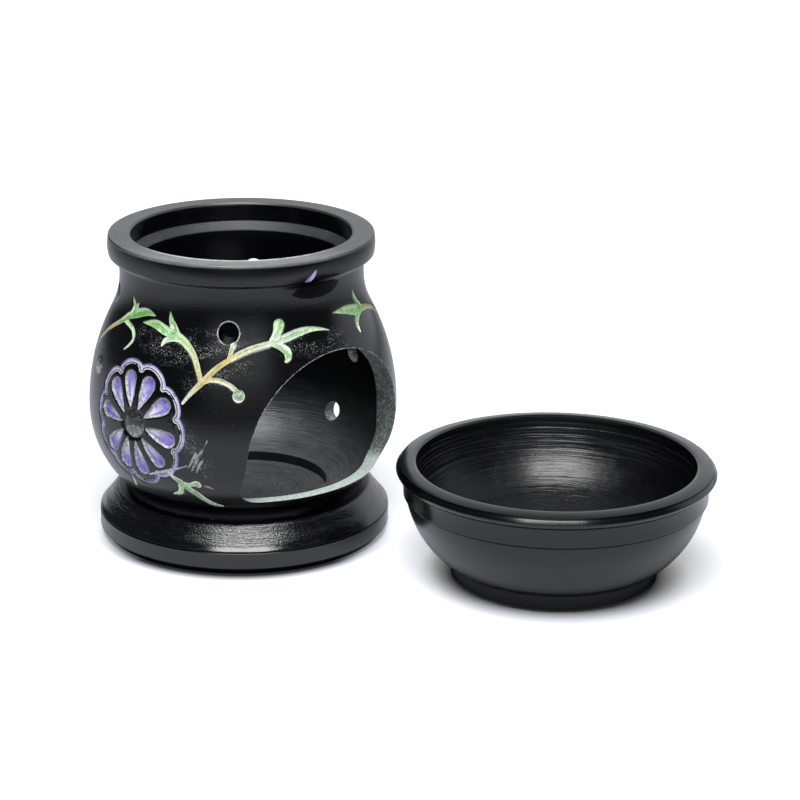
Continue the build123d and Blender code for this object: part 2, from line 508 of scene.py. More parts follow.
def cut_openings(pot, bare_stone):
    """Cuts the candle opening and the vents. The cut faces are bare stone, but for one waxed vent."""
    cutters = [window_cutter()] + [vent_cutter(*vent) for vent in vents]
    waxed_vent = cutters[1 + vents.index(front_left_vent)]
    for cutter in cutters:
        cutter.data.materials.append(pot.data.materials[1] if cutter is waxed_vent else bare_stone)
    pick(*cutters)
    bpy.ops.object.join()
    cutter = bpy.context.object
    cut = pot.modifiers.new("openings", "BOOLEAN")
    cut.operation = "DIFFERENCE"
    cut.solver = "EXACT"
    cut.material_mode = "TRANSFER"
    cut.object = cutter
    pick(pot)
    bpy.ops.object.modifier_apply(modifier=cut.name)
    bpy.data.objects.remove(cutter)


# The carving. Strokes run over the pot's wall through places of (bearing, height, width).

def wall_outline(spacing):
    """Outline of the pot's outside from the rim's top down to the arris over the waist."""
    return joined(
        [(rim_radius, burner_height), (rim_radius, rim_bottom), cove_end],
        around(cove_centre, cove_end, neck_end, spacing),
        *belly_runs(spacing),
    )


fine_outline = wall_outline(wall_spacing)
wall_heights = np.array([place[1] for place in reversed(fine_outline)])
wall_radii = np.array([place[0] for place in reversed(fine_outline)])
carved_top = rim_bottom - rim_cove_radius


def on_wall(bearings, heights):
    """Points of the pot's outer wall, in millimetres."""
    radii = np.interp(heights, wall_heights, wall_radii)
    turns = np.radians(bearings)
    return np.stack([radii * np.sin(turns), -radii * np.cos(turns), heights], axis=-1)


def flowing(places, steps):
    """Places on a smooth line through the given ones, each with its width."""
    rows = np.array([places[0]] + list(places) + [places[-1]], float)
    line = []
    for a, b, c, d in zip(rows, rows[1:], rows[2:], rows[3:]):
        for step in range(steps):
            t = step / steps
            cubic = 3 * (b - c) + d - a
            square = 2 * a - 5 * b + 4 * c - d
            line.append(b + ((c - a) * t + square * t**2 + cubic * t**3) / 2)
    return np.array(line + [rows[-1]])


class Strokes:
    """How far inside carved strokes each of many points lies, in millimetres, negative outside."""

    far = -9.0
    reach = 5.5

    def __init__(self, points):
        self.points = points
        self.covers = {}
        self.values = {}

    def cover(self, kind):
        return self.covers.setdefault(kind, np.full(len(self.points), self.far))

    def value(self, name, size):
        return self.values.setdefault(name, np.zeros((len(self.points), size)))

    def nearest(self, samples, halves):
        """Points near samples, how far inside the stroke they lie, and each one's nearest sample."""
        low = samples.min(axis=0) - self.reach
        high = samples.max(axis=0) + self.reach
        near = np.flatnonzero(((self.points > low) & (self.points < high)).all(axis=1))
        if not len(near):
            return near, np.zeros(0), near
        gaps = np.linalg.norm(self.points[near, None] - samples[None], axis=2) - halves
        closest = gaps.argmin(axis=1)
        return near, -gaps[np.arange(len(near)), closest], closest

    def add(self, kind, samples, halves, start=None, end=None):
        """Adds a stroke through samples, with paint that runs from start to end along it."""
        halves = np.broadcast_to(halves, len(samples))
        near, inside, closest = self.nearest(samples, halves)
        cover = self.cover(kind)
        better = inside > cover[near]
        near, inside, closest = near[better], inside[better], closest[better]
        cover[near] = inside
        if start is None:
            return
        along = np.gradient(samples, axis=0)
        out = samples * (1.0, 1.0, 0.0)
        across = np.cross(out, along)
        across *= np.where(across[:, 2:] < 0, -1.0, 1.0)
        across /= np.linalg.norm(across, axis=1, keepdims=True) + 1e-9
        side = ((self.points[near] - samples[closest]) * across[closest]).sum(axis=1)
        share = closest / (len(samples) - 1)
        shape = np.stack([side / halves[closest], halves[closest], share], axis=1)
        self.value(kind + "_shape", 3)[near] = shape
        first, last = np.array(start, float), np.array(end, float)
        self.value(kind + "_paint", 3)[near] = first + (last - first) * share[:, None]


# Paints, as linear colours
chalk_white = (0.72, 0.76, 0.70)
straw_yellow = (0.66, 0.49, 0.16)
amber = (0.76, 0.45, 0.08)
leaf_green = (0.32, 0.70, 0.21)
pale_green = (0.58, 0.86, 0.46)
bud_grey = (0.62, 0.70, 0.66)
petal_purple = (0.25, 0.19, 0.55)

# Stems and leaves of one vine: paint at its start and end, then its places, with the bearing
# counted from the middle of the flower that it springs from
vine = [
    (chalk_white, straw_yellow, [(20.5, 50.3, 0.9), (23.5, 53.2, 1.4), (27.2, 56.0, 1.7)]),
    (straw_yellow, straw_yellow, [(27.2, 56.0, 1.7), (31.2, 59.0, 1.6), (34.4, 60.9, 1.6),
                                  (38.4, 62.6, 1.6)]),
    (straw_yellow, chalk_white, [(38.4, 62.6, 1.6), (42.8, 64.1, 1.7), (48.0, 65.3, 1.9), (55.5, 66.3, 1.8)]),
    (straw_yellow, pale_green, [(27.2, 56.0, 1.5), (26.2, 58.2, 1.4), (24.6, 61.0, 1.6), (22.8, 63.3, 1.8),
                                (20.0, 65.2, 2.1), (16.5, 66.7, 2.4), (13.0, 67.6, 2.6)]),
    (pale_green, leaf_green, [(14.5, 67.3, 1.8), (12.0, 69.2, 2.2), (10.0, 70.9, 1.6), (8.8, 73.1, 0.3)]),
    (pale_green, leaf_green, [(14.5, 67.2, 1.6), (8.0, 68.1, 2.6), (1.5, 69.2, 2.5), (-5.9, 68.7, 0.3)]),
    (pale_green, chalk_white, [(17.0, 66.3, 1.5), (13.0, 66.3, 1.2), (9.2, 65.8, 1.7), (7.8, 64.3, 0.6)]),
    (chalk_white, pale_green, [(55.0, 66.4, 1.4), (57.2, 67.8, 2.0), (58.8, 69.4, 2.7), (59.5, 70.8, 3.0)]),
    (chalk_white, pale_green, [(55.0, 66.2, 1.4), (61.5, 67.2, 2.4), (68.0, 68.2, 2.2), (74.0, 68.5, 1.6),
                               (80.0, 68.0, 0.9), (85.4, 66.9, 0.2)]),
    (chalk_white, leaf_green, [(55.5, 66.1, 1.4), (59.2, 65.2, 2.2), (61.5, 63.9, 2.3), (61.6, 62.3, 1.8),
                               (60.4, 61.3, 0.7)]),
    (straw_yellow, chalk_white, [(28.5, 56.4, 1.3), (31.0, 57.0, 1.3), (34.0, 57.0, 1.4), (37.2, 56.2, 1.4),
                                 (39.6, 55.0, 1.5), (41.2, 53.8, 1.4)]),
    (bud_grey, bud_grey, [(41.5, 53.0, 3.3), (41.5, 53.0, 3.3)]),
]
vent_stalk = (straw_yellow, chalk_white, [(37.8, 62.6, 1.2), (38.5, 64.4, 1.3), (39.5, 66.1, 1.7)])
low_spray = [
    (chalk_white, chalk_white, [(14.0, 29.3, 1.2), (16.0, 27.9, 1.4), (18.2, 26.8, 1.9)]),
    (pale_green, chalk_white, [(18.0, 26.6, 1.6), (18.0, 24.8, 1.6), (17.0, 23.0, 1.7), (13.8, 22.0, 0.8)]),
    (pale_green, chalk_white, [(18.5, 26.5, 1.5), (22.0, 26.2, 1.4), (24.8, 26.8, 1.9), (25.5, 26.2, 1.7)]),
    (pale_green, chalk_white, [(18.5, 26.2, 1.9), (23.7, 23.4, 2.0), (27.5, 20.9, 1.8), (30.8, 19.5, 1.6),
                               (34.2, 19.0, 0.5)]),
]
stub = [(straw_yellow, pale_green, [(-6.8, 24.6, 0.7), (-7.0, 22.8, 1.1), (-8.4, 21.0, 0.4)])]
far_vine = [
    (straw_yellow, straw_yellow, [(20.5, 50.3, 1.0), (26.0, 56.0, 1.3), (32.9, 60.8, 1.3),
                                  (39.6, 64.1, 1.4)]),
    (straw_yellow, leaf_green, [(39.6, 64.1, 1.4), (44.8, 66.2, 1.7), (50.5, 68.6, 2.4)]),
    (leaf_green, pale_green, [(50.0, 68.3, 1.8), (53.2, 70.2, 2.0), (53.8, 72.2, 1.7), (51.2, 74.3, 0.3)]),
    (leaf_green, pale_green, [(53.6, 70.0, 1.2), (56.0, 71.6, 1.1), (56.4, 73.0, 0.5)]),
    (leaf_green, leaf_green, [(50.5, 68.7, 1.8), (57.0, 70.4, 2.7), (63.5, 71.6, 2.0), (69.2, 71.2, 0.3)]),
    (pale_green, chalk_white, [(48.0, 67.5, 1.4), (54.0, 66.9, 1.3), (58.0, 65.9, 1.2), (59.9, 64.0, 1.1),
                               (58.5, 62.2, 0.9), (56.0, 60.6, 0.4)]),
]
near_vine = [
    (chalk_white, straw_yellow, [(20.0, 53.8, 1.0), (25.5, 59.8, 1.2), (31.0, 64.3, 1.3), (38.0, 66.9, 1.5)]),
    (amber, leaf_green, [(38.0, 66.9, 1.5), (46.0, 68.5, 1.5), (54.0, 69.3, 2.2)]),
    (leaf_green, leaf_green, [(52.5, 69.4, 1.6), (55.9, 71.6, 1.9), (57.9, 73.4, 1.8), (57.9, 75.3, 0.7)]),
    (leaf_green, pale_green, [(53.5, 69.4, 1.5), (60.5, 70.0, 2.9), (67.5, 70.9, 2.2), (76.0, 71.3, 0.3)]),
    (leaf_green, chalk_white, [(54.0, 69.2, 1.6), (59.0, 68.1, 1.9), (62.1, 66.3, 1.7), (62.1, 64.3, 0.8)]),
]
near_stalk = (straw_yellow, chalk_white, [(29.5, 63.6, 1.2), (29.0, 65.4, 1.3), (28.7, 67.0, 1.7)])

# Flowers: middle bearing and height, the bearing that their vines count from, and the vines.
# A flower with side -1 and its vines run the other way round the pot.
left_flower = (-84.9, 41.7)
right_flower = (80.5, 45.4)
back_left_flower = (-152.5, 41.5)
back_right_flower = (145.0, 41.5)
flowers = [
    (left_flower, -84.0, 1, vine + [vent_stalk] + low_spray + stub),
    (right_flower, 80.5, -1, near_vine + [near_stalk] + low_spray),
    (back_left_flower, -152.5, 1, far_vine + low_spray),
    (back_right_flower, 145.0, -1, far_vine + low_spray),
]

# A flower's petals, as the directions of their outer and inner ends, and the notches of its scalloped
# outline, all clockwise from the top, in degrees
petals = [(-13, -15), (22, 22), (57, 58), (101, 94), (136, 136), (170, 170), (201, 207), (231, 239),
          (277, 270), (315, 304)]
notches = [4, 41, 76, 111, 150, 190, 222, 257, 292, 329]
petal_start, petal_end = 4.9, 12.7
petal_widths = [0.5, 1.9, 3.1, 4.1, 4.7]
notch_radius = 15.6
scallop_rise = 2.0
flower_width_share = 0.975
scallop_line_gap = 0.9
button_radius = 3.9
ring_radius = 3.05
ring_width = 0.42
ring_steps = 64
stroke_steps = 10
petal_width_shares = (0.93, 1.07)
stem_width_shares = (0.92, 1.08)
scallop_steps = 24
scallop_turn = 36

# Depths of the carving, and how far inside its edge each kind of cut is full depth
petal_depth, petal_run = 0.95, 1.9
vine_depth, vine_run = 0.5, 0.9
band_half_width, band_depth, band_run = 0.55, 0.35, 0.4
line_half_width, line_depth, line_run = 0.3, 0.25, 0.25
button_depth = 0.6
button_gap, button_gap_slope = 0.9, 0.6
edge_guard, edge_depth = 0.3, 0.1

# How far round the strokes the pot's faces are divided, how finely, and how near its outline a point
# of the pot counts as outer wall
refined_margins = {"vine": 1.1, "petal": 1.1, "button": 1.2, "edge": 0.9, "scratch": 0.6, "ring": 0.6}
refined_scallop_margin = 1.9
refined_loose_margin = 1.0
refined_cuts = 4
face_slack, cut_slack, point_slack = 0.3, 0.1, 0.08
cover_limits = (-4, 6)

# Scratches, scraped places, settled dust and a drip of wax, as places of (bearing, height, width)
scratches = [
    [(-53.9, 40.5, 0.5), (-55.4, 37.8, 0.6), (-57.4, 35.3, 1.3), (-60.2, 31.0, 0.5)],
    [(-58.0, 37.0, 0.4), (-59.0, 35.0, 1.1), (-61.6, 31.6, 0.4)],
    [(-55.0, 35.5, 0.4), (-57.0, 33.0, 0.9), (-58.5, 30.5, 0.4)],
    [(-62.5, 39.9, 0.3), (-61.4, 37.9, 0.4), (-58.0, 37.9, 0.3)],
    [(-57.8, 26.4, 0.6), (-54.7, 26.1, 0.8), (-52.8, 25.5, 0.5)],
    [(-57.5, 33.0, 0.5), (-56.0, 31.0, 0.3), (-55.0, 29.5, 0.5)],
]
loose_lines = [
    [(-78.9, 27.5, 0.7), (-73.7, 29.0, 0.8), (-69.0, 30.4, 0.7), (-64.7, 31.5, 0.6), (-61.8, 32.5, 0.4)],
    [(-13.2, 82.6, 1.0), (-11.4, 83.2, 1.6), (-9.6, 84.4, 1.2), (-8.6, 85.4, 0.7)],
]
dusty = [
    [(-88.0, 66.0, 4.0), (-75.0, 64.0, 8.0), (-60.0, 65.0, 9.0), (-46.0, 67.0, 7.0)],
    [(-24.0, 66.0, 5.0), (-8.0, 65.0, 7.0), (6.0, 64.0, 5.0)],
    [(-66.0, 46.0, 3.0), (-58.0, 36.0, 5.0), (-54.0, 31.0, 3.0)],
    [(-60.0, 56.0, 5.0), (-40.0, 60.0, 5.0)],
]
wax_drip = [(-17.0, 79.0, 1.8), (-8.0, 78.6, 4.2), (2.0, 78.9, 4.0), (9.0, 79.4, 1.4)]
marks = {"scratch": scratches, "loose": loose_lines, "dust": dusty, "drip": [wax_drip]}


def about_flower(middle, direction, radius):
    """Bearing and height of the place that far from a flower's middle, in that direction."""
    across = radius * sin(radians(direction)) * flower_width_share / belly_radius
    return (middle[0] + np.degrees(across), middle[1] + radius * cos(radians(direction)))


def stroke(strokes, kind, places, *paints):
    """A stroke through places of the wall, smoothed."""
    line = flowing(places, stroke_steps)
    strokes.add(kind, on_wall(line[:, 0], line[:, 1]), line[:, 2] / 2, *paints)


def petal(strokes, middle, side, directions):
    """One petal: a teardrop that widens outwards."""
    outer = about_flower(middle, side * directions[0], petal_end)
    inner = about_flower(middle, side * directions[1], petal_start)
    count = len(petal_widths) - 1
    places = [
        toward_share(inner, outer, step / count) + (width * rng.uniform(*petal_width_shares),)
        for step, width in enumerate(petal_widths)
    ]
    stroke(strokes, "petal", places, petal_purple, petal_purple)


def scallops(strokes, middle, side):
    """The scalloped line round a flower. Points inside it count positive, points outside negative."""
    turns = []
    reaches = []
    for start, end in zip(notches, notches[1:] + [notches[0] + 360]):
        for step in range(scallop_steps):
            share = step / scallop_steps
            turns.append(radians(start + (end - start) * share))
            rise = scallop_rise * sqrt(sin(pi * share)) * (end - start) / scallop_turn
            reaches.append(notch_radius + rise)
    turns, reaches = np.array(turns + [turns[0] + tau]), np.array(reaches + reaches[:1])
    wide = flower_width_share / belly_radius
    bearings = middle[0] + side * np.degrees(reaches * np.sin(turns) * wide)
    heights = middle[1] + reaches * np.cos(turns)
    near, inside, closest = strokes.nearest(on_wall(bearings, heights), 0)
    points = strokes.points[near]
    bearing = np.degrees(np.arctan2(points[:, 0], -points[:, 1]))
    across = side * np.radians((bearing - middle[0] + 180) % 360 - 180) / wide
    up = points[:, 2] - middle[1]
    turn = (np.arctan2(across, up) - turns[0]) % tau + turns[0]
    within = np.hypot(across, up) < np.interp(turn, turns, reaches)
    cover = strokes.cover("scallop")
    cover[near] = np.maximum(cover[near], np.where(within, -inside, inside))


def ring(strokes, kind, middle, radius, width):
    """A circle drawn round a place of the wall."""
    turns = np.linspace(0, tau, ring_steps)
    wall_radius = np.interp(middle[1], wall_heights, wall_radii)
    bearings = middle[0] + np.degrees(radius * np.sin(turns) / wall_radius)
    strokes.add(kind, on_wall(bearings, middle[1] + radius * np.cos(turns)), width / 2)


def window_edge(strokes):
    """How near points lie to the candle opening's outer edge, 0 on it and negative away from it."""
    places = np.array(window_places(edge_spacing))
    radii = np.interp(places[:, 1], wall_heights, wall_radii)
    samples = np.stack([places[:, 0], -np.sqrt(radii**2 - places[:, 0] ** 2), places[:, 1]], axis=-1)
    strokes.add("edge", samples, 0)


def carve(points):
    """All the carved and painted strokes and marks, for points of the pot in millimetres."""
    strokes = Strokes(points)
    rng.seed(carving_seed)
    for middle, vine_bearing, side, stems in flowers:
        for directions in petals:
            petal(strokes, middle, side, directions)
        scallops(strokes, middle, side)
        if middle is not right_flower:
            stroke(strokes, "button", [middle + (2 * button_radius,)] * 2)
        for start, end, places in stems:
            on_pot = [(vine_bearing + side * b, h, w * rng.uniform(*stem_width_shares)) for b, h, w in places]
            stroke(strokes, "vine", on_pot, start, end)
    for kind, lines in marks.items():
        for line in lines:
            stroke(strokes, kind, line)
    ring(strokes, "ring", front_left_vent, ring_radius, ring_width)
    window_edge(strokes)
    return strokes


def outer_wall(points, slack):
    """Which points lie on the carved part of the outer wall, their radii and the wall's."""
    radii = np.hypot(points[:, 0], points[:, 1])
    wall = np.interp(points[:, 2], wall_heights, wall_radii)
    outer = (np.abs(radii - wall) < slack) & (points[:, 2] > wall_heights[0]) & (points[:, 2] < carved_top)
    return outer, radii, wall


def faces_to_refine(mesh):
    """Which faces of the pot lie on or near the carved strokes."""
    centres = np.empty(len(mesh.polygons) * 3)
    mesh.polygons.foreach_get("center", centres)
    centres = centres.reshape(-1, 3) / mm
    strokes = carve(centres)
    wanted = np.abs(strokes.cover("scallop")) < refined_scallop_margin
    for kind, margin in refined_margins.items():
        wanted |= strokes.cover(kind) > -margin
    wanted &= outer_wall(centres, face_slack)[0]
    return wanted | (strokes.cover("loose") > -refined_loose_margin)


def refine_carving(pot):
    """Divides the pot's faces round the carved strokes, so that the carving has points of its own."""
    mesh = pot.data
    wanted = faces_to_refine(mesh)
    for elements in (mesh.vertices, mesh.edges):
        elements.foreach_set("select", np.zeros(len(elements), bool))
    mesh.polygons.foreach_set("select", wanted)
    pick(pot)
    bpy.context.tool_settings.mesh_select_mode = (False, False, True)
    bpy.ops.object.mode_set(mode="EDIT")
    bpy.ops.mesh.subdivide(number_cuts=refined_cuts)
    bpy.ops.object.mode_set(mode="OBJECT")
    points = mesh_points(mesh)
    outer, radii, wall = outer_wall(points, cut_slack)
    points[:, :2] *= np.where(outer, wall / radii, 1.0)[:, None]
    mesh.vertices.foreach_set("co", (points * mm).ravel())


def mesh_points(mesh):
    """The mesh's points, in millimetres."""
    points = np.empty(len(mesh.vertices) * 3)
    mesh.vertices.foreach_get("co", points)
    return points.reshape(-1, 3) / mm


def scoop(cover, depth, run):
    """Depth of a rounded hollow that reaches its full depth a run inside its edge."""
    fall = np.clip(cover / run, 0, 1)
    return depth * np.sqrt(fall * (2 - fall))


def carved_depth(strokes):
    """How deep the carving is cut at each point."""
    scallop = strokes.cover("scallop")
    depth = scoop(strokes.cover("petal"), petal_depth, petal_run)
    for cover, full_depth, run in (
        (strokes.cover("vine"), vine_depth, vine_run),
        (band_half_width - np.abs(scallop), band_depth, band_run),
        (line_half_width - np.abs(scallop - scallop_line_gap), line_depth, line_run),
    ):
        depth = np.maximum(depth, scoop(cover, full_depth, run))
    button = strokes.cover("button")
    dome = np.clip(button / button_radius, 0, 1)
    gap = button_depth * np.clip((button + button_gap) / button_gap_slope, 0, 1)
    depth = np.where(button > 0, button_depth * (1 - dome) ** 2, np.maximum(depth, gap))
    return np.where(strokes.cover("edge") > -edge_guard, np.minimum(depth, edge_depth), depth)


def carve_pot(pot):
    """Sinks the carved strokes into the pot's wall and keeps their places as attributes."""
    mesh = pot.data
    points = mesh_points(mesh)
    outer, radii, wall = outer_wall(points, point_slack)
    strokes = carve(points)
    points[:, :2] *= np.where(outer, (wall - carved_depth(strokes)) / radii, 1.0)[:, None]
    mesh.vertices.foreach_set("co", (points * mm).ravel())
    for kind in ("petal", "scallop", "vine", "button", "ring", "scratch", "loose", "dust", "drip", "edge"):
        attribute = mesh.attributes.new(kind, "FLOAT", "POINT")
        attribute.data.foreach_set("value", np.clip(strokes.cover(kind), *cover_limits).astype(np.float32))
    for name, values in strokes.values.items():
        attribute = mesh.attributes.new(name, "FLOAT_VECTOR", "POINT")
        attribute.data.foreach_set("vector", values.ravel().astype(np.float32))
    mesh.update()


# Materials

class Value:
    """A shader socket. Sums written with it add their Math nodes."""

    def __init__(self, finish, socket):
        self.finish = finish
        self.socket = socket

    def math(self, operation, *others, clamp=False):
        inputs = dict(enumerate((self,) + others))
        return self.finish.node("Math", {"operation": operation, "use_clamp": clamp}, inputs)

    def __add__(self, other):
        return self.math("ADD", other)

    def __sub__(self, other):
        return self.math("SUBTRACT", other)

    def __rsub__(self, other):
        return self.finish.node("Math", {"operation": "SUBTRACT"}, {0: other, 1: self})

    def __mul__(self, other):
        return self.math("MULTIPLY", other)

    def __truediv__(self, other):
        return self.math("DIVIDE", other)

    __radd__ = __add__
    __rmul__ = __mul__

    def clamped(self):
        return self.math("ADD", 0.0, clamp=True)

    def over(self, other):
        """The larger of this and another value."""
        return self.math("MAXIMUM", other)

    def above(self, threshold, softness):
        """Rises from 0 to 1 across a threshold."""
        return self.math("MULTIPLY_ADD", 1 / softness, 0.5 - threshold / softness, clamp=True)

    def below(self, threshold, softness):
        """Falls from 1 to 0 across a threshold."""
        return 1 - self.above(threshold, softness)


class Finish:
    """A material and the nodes that make it."""

    def __init__(self, name):
        self.material = bpy.data.materials.new(name)
        self.material.use_nodes = True
        self.tree = self.material.node_tree
        self.tree.nodes.clear()
        self.place = self.node("TexCoord", output="Object")

    def node(self, kind, settings=None, inputs=None, output=0):
        """Adds a node: its settings first, then values or links for its sockets."""
        node = self.tree.nodes.new("ShaderNode" + kind)
        for name, setting in (settings or {}).items():
            setattr(node, name, setting)
        for name, value in (inputs or {}).items():
            if isinstance(value, Value):
                self.tree.links.new(value.socket, node.inputs[name])
            else:
                node.inputs[name].default_value = value
        return Value(self, node.outputs[output])

    def attribute(self, name, output="Fac"):
        return self.node("Attribute", {"attribute_name": name}, output=output)

    def mix(self, share, colour, other):
        """Blends from one colour to another by a share."""
        inputs = {0: share, 6: colour, 7: other}
        return self.node("Mix", {"data_type": "RGBA"}, inputs, output=2)

    def noise(self, vector, scale, detail=2.0, roughness=0.5):
        inputs = {"Vector": vector, "Scale": scale, "Detail": detail, "Roughness": roughness}
        return self.node("TexNoise", None, inputs, output="Fac")

    def centred(self, centre):
        """The place measured from an upright axis through a centre, in metres."""
        if not any(centre):
            return self.place
        shift = tuple(-value for value in centre)
        return self.node("Mapping", None, {"Vector": self.place, "Location": shift})

    def parts(self, vector):
        """The three parts of a vector."""
        return [self.node("SeparateXYZ", None, {0: vector}, output=axis) for axis in range(3)]

    def rings(self, place, pitch, streaks=1.0):
        """Noise that runs round the Z axis in rings, as a lathe tool leaves them."""
        x, y, z = self.parts(place)
        radius = (x * x + y * y).math("SQRT")
        inputs = {0: x / radius * streaks, 1: y / radius * streaks, 2: radius / pitch}
        vector = self.node("CombineXYZ", None, inputs)
        inputs = {"Vector": vector, "W": z / pitch, "Scale": 1.0, "Detail": 2.0}
        return self.node("TexNoise", {"noise_dimensions": "4D"}, inputs, output="Fac")

    def radius(self, place):
        """Distance of a place from the Z axis."""
        x, y, z = self.parts(place)
        return (x * x + y * y).math("SQRT")

    def sides(self, place):
        """How far a place lies to the right and to the front of the Z axis, as the photograph shows it."""
        x, y, z = self.parts(place)
        turn = radians(camera_heading)
        return x * cos(turn) + y * sin(turn), x * sin(turn) - y * cos(turn)

    def line_round(self, z, height, half_width):
        """1 on a thin level line round a piece, and 0 off it."""
        return (half_width - (z - height).math("ABSOLUTE")).above(0.0, line_fade)

    def bump(self, height, strength, distance, under=None):
        inputs = {"Height": height, "Strength": strength, "Distance": distance}
        if under:
            inputs["Normal"] = under
        return self.node("Bump", None, inputs)

    def gloss(self, colour, roughness, normal, specular=0.5):
        """The shader of a glossy solid."""
        inputs = {"Base Color": colour, "Roughness": roughness, "Normal": normal}
        inputs["Specular IOR Level"] = specular
        return self.node("BsdfPrincipled", None, inputs)

    def dull_wax_and_shade(self):
        """The shader of thick black wax, in drips, and as painted shade in grooves, under ledges and on dark
        sides.
        """
        grain = self.noise(self.place, 400.0, 2.0)
        return self.gloss(wax_and_shade_black, 0.3, self.bump(grain, *wax_relief), specular=0.1)

    def under_wax_and_shade(self, share, stone):
        """Ends the material in a stone's shader, with thick wax over a share of it, for drips and for painted
        shade.
        """
        return self.ended(self.node("MixShader", None, {0: share, 1: stone, 2: self.dull_wax_and_shade()}))

    def ended(self, shader):
        """Links the last shader to the output and gives the material."""
        output = self.tree.nodes.new("ShaderNodeOutputMaterial")
        self.tree.links.new(shader.socket, output.inputs["Surface"])
        return self.material


def colour(red, green, blue):
    return (red, green, blue, 1.0)


# Some of these colours are painted light and shade: the leaves' lit and shaded tones, the petals' highlight,
# the button's light and shade, the rim's sheen and glint, and the thick wax laid as shade.
wax_black = colour(0.0014, 0.0015, 0.0022)
wax_and_shade_black = colour(0.001, 0.001, 0.0015)
wax_grey = colour(0.009, 0.0096, 0.0115)
dust_and_sheen_grey = colour(0.085, 0.088, 0.092)
stone_grey = colour(0.09, 0.108, 0.10)
stone_pale = colour(0.50, 0.58, 0.54)
scraped_and_glint_white = colour(0.62, 0.65, 0.63)
rim_dust_and_sheen = colour(0.26, 0.265, 0.275)
chamber_black = colour(0.003, 0.0035, 0.005)
chamber_pale_grey = colour(0.15, 0.155, 0.16)
chamber_ash = colour(0.30, 0.31, 0.31)
ring_pale = colour(0.22, 0.225, 0.23)
ring_dark = colour(0.01, 0.01, 0.012)
smear_grey = colour(0.45, 0.46, 0.46)
leaf_painted_light = colour(0.84, 0.94, 0.76)
leaf_vein = colour(0.06, 0.14, 0.04)
leaf_scraped_and_highlight = colour(0.84, 0.90, 0.80)
leaf_speck = colour(0.06, 0.08, 0.05)
leaf_shade_and_blotch_shares = (0.30, 0.45, 0.27)
petal_blue = colour(0.31, 0.26, 0.67)
petal_deep = colour(0.13, 0.09, 0.39)
petal_highlight_white = colour(0.86, 0.85, 0.92)
petal_rim = colour(0.30, 0.30, 0.31)
petal_scraped = colour(0.75, 0.75, 0.76)
petal_speck = colour(0.05, 0.045, 0.08)
band_light = colour(0.50, 0.45, 0.76)
band_deep = colour(0.24, 0.20, 0.42)
band_scraped = colour(0.60, 0.60, 0.66)
line_grey = colour(0.52, 0.52, 0.56)
button_painted_shade = colour(0.022, 0.028, 0.026)
button_painted_light = colour(0.16, 0.19, 0.178)
button_speck = colour(0.55, 0.60, 0.56)
bare_speck = colour(0.70, 0.76, 0.74)
bare_pit = colour(0.06, 0.07, 0.065)

# Where one finish gives way to another: the middle of the change and its width, in metres. Some of these mark
# painted shade, at the base's and the waist's grooves, the bowl's foot and the well's step, and some mark the
# rim's painted sheen and glint.
line_fade = 0.0002
base_brushed = (0.0071, 0.0004)
base_polished = (0.0085, 0.0012)
base_shade_groove = (0.0364, 0.0008)
bowl_inside = (0.0389, 0.0003)
bowl_outside = (0.0405, 0.0004)
bowl_flank = (0.0005, 0.0004)
bowl_upper = (0.024, 0.004)
bowl_foot_shade = (0.0054, 0.0008)
chamber_paler_low = (0.033, 0.036)
chamber_dull_top = (0.031, 0.014)
chamber_ledge = (0.0807, 0.0006)
well_step_shade = (0.0238, 0.0001)
well_step_shade_top = (0.0134, 0.0002)
smear_place = (0.035, 0.0155, 0.0185)
smear_edge = (0.0028, 0.004)
pot_rim_top = (0.0878, 0.0004)
rim_sheen_front = (0.024, 0.012)
inner_glint_radius = (0.0327, 0.0003)
waist_shade_groove = (0.0168, 0.002)
worn_edge_low = (0.044, 0.02)
button_light_line = (0.0421, 0.002)
seam_top = (0.0140, 0.0002)
sill_top = (0.0222, 0.002)

# Painted shade lines round the base under its moulding and round the bowl under its ledges and on its lip, as
# height and half width in metres
base_quirk_shade = (0.0067, 0.0003)
bowl_shade_lines = [(0.0239, 0.0003), (0.0299, 0.00035), (0.0327, 0.0002)]

# Where dull wax as painted shade starts on the bowl's inner walls to its right and left, as a share of the
# radius, and the change's width
bowl_shaded_sides = (0.7, 0.4)

# Pitch of the tool's marks, in metres, and the strength and depth of each finish's bumps
fine_pitch = 0.0003
broad_pitch = 0.0013
bowl_line_pitch = 0.0005
chamber_pitch = 0.004
wax_relief = (0.3, 0.0003)
base_relief = (0.9, 0.00011)
bowl_relief = (0.9, 0.0001)
chamber_relief = (0.9, 0.00012)
pot_relief = (0.6, 0.00012)
bare_relief = (0.6, 0.00015)


def waxed(finish, place, brushed, mark_breaks=3.0):
    """Black wax over turned stone: its colour, roughness and height. Brushed is the share of tool marks."""
    fine_rings = finish.rings(place, fine_pitch, mark_breaks)
    broad_rings = finish.rings(place, broad_pitch)
    blotches = finish.noise(place, 70.0, 4.0, 0.6)
    grain = finish.noise(place, 1500.0, 3.0, 0.7)
    worn = (blotches * 0.6 + broad_rings * 0.4).above(0.62, 0.25)
    shade = finish.mix(worn * 0.35, wax_black, wax_grey)
    streaks = (fine_rings * 0.7 + grain * 0.3).above(0.6, 0.16) * brushed
    shade = finish.mix(streaks * 0.07, shade, dust_and_sheen_grey)
    specks = finish.noise(place, 1300.0, 1.0).above(0.77, 0.03) * blotches.above(0.5, 0.2)
    shade = finish.mix(specks * 0.4, shade, stone_grey)
    roughness = 0.13 + blotches * 0.1 + grain * 0.05 + streaks * 0.12
    height = (fine_rings * 1.3 + broad_rings * 1.4) * (brushed * 0.93 + 0.07) + grain * 0.08
    return shade, roughness, height


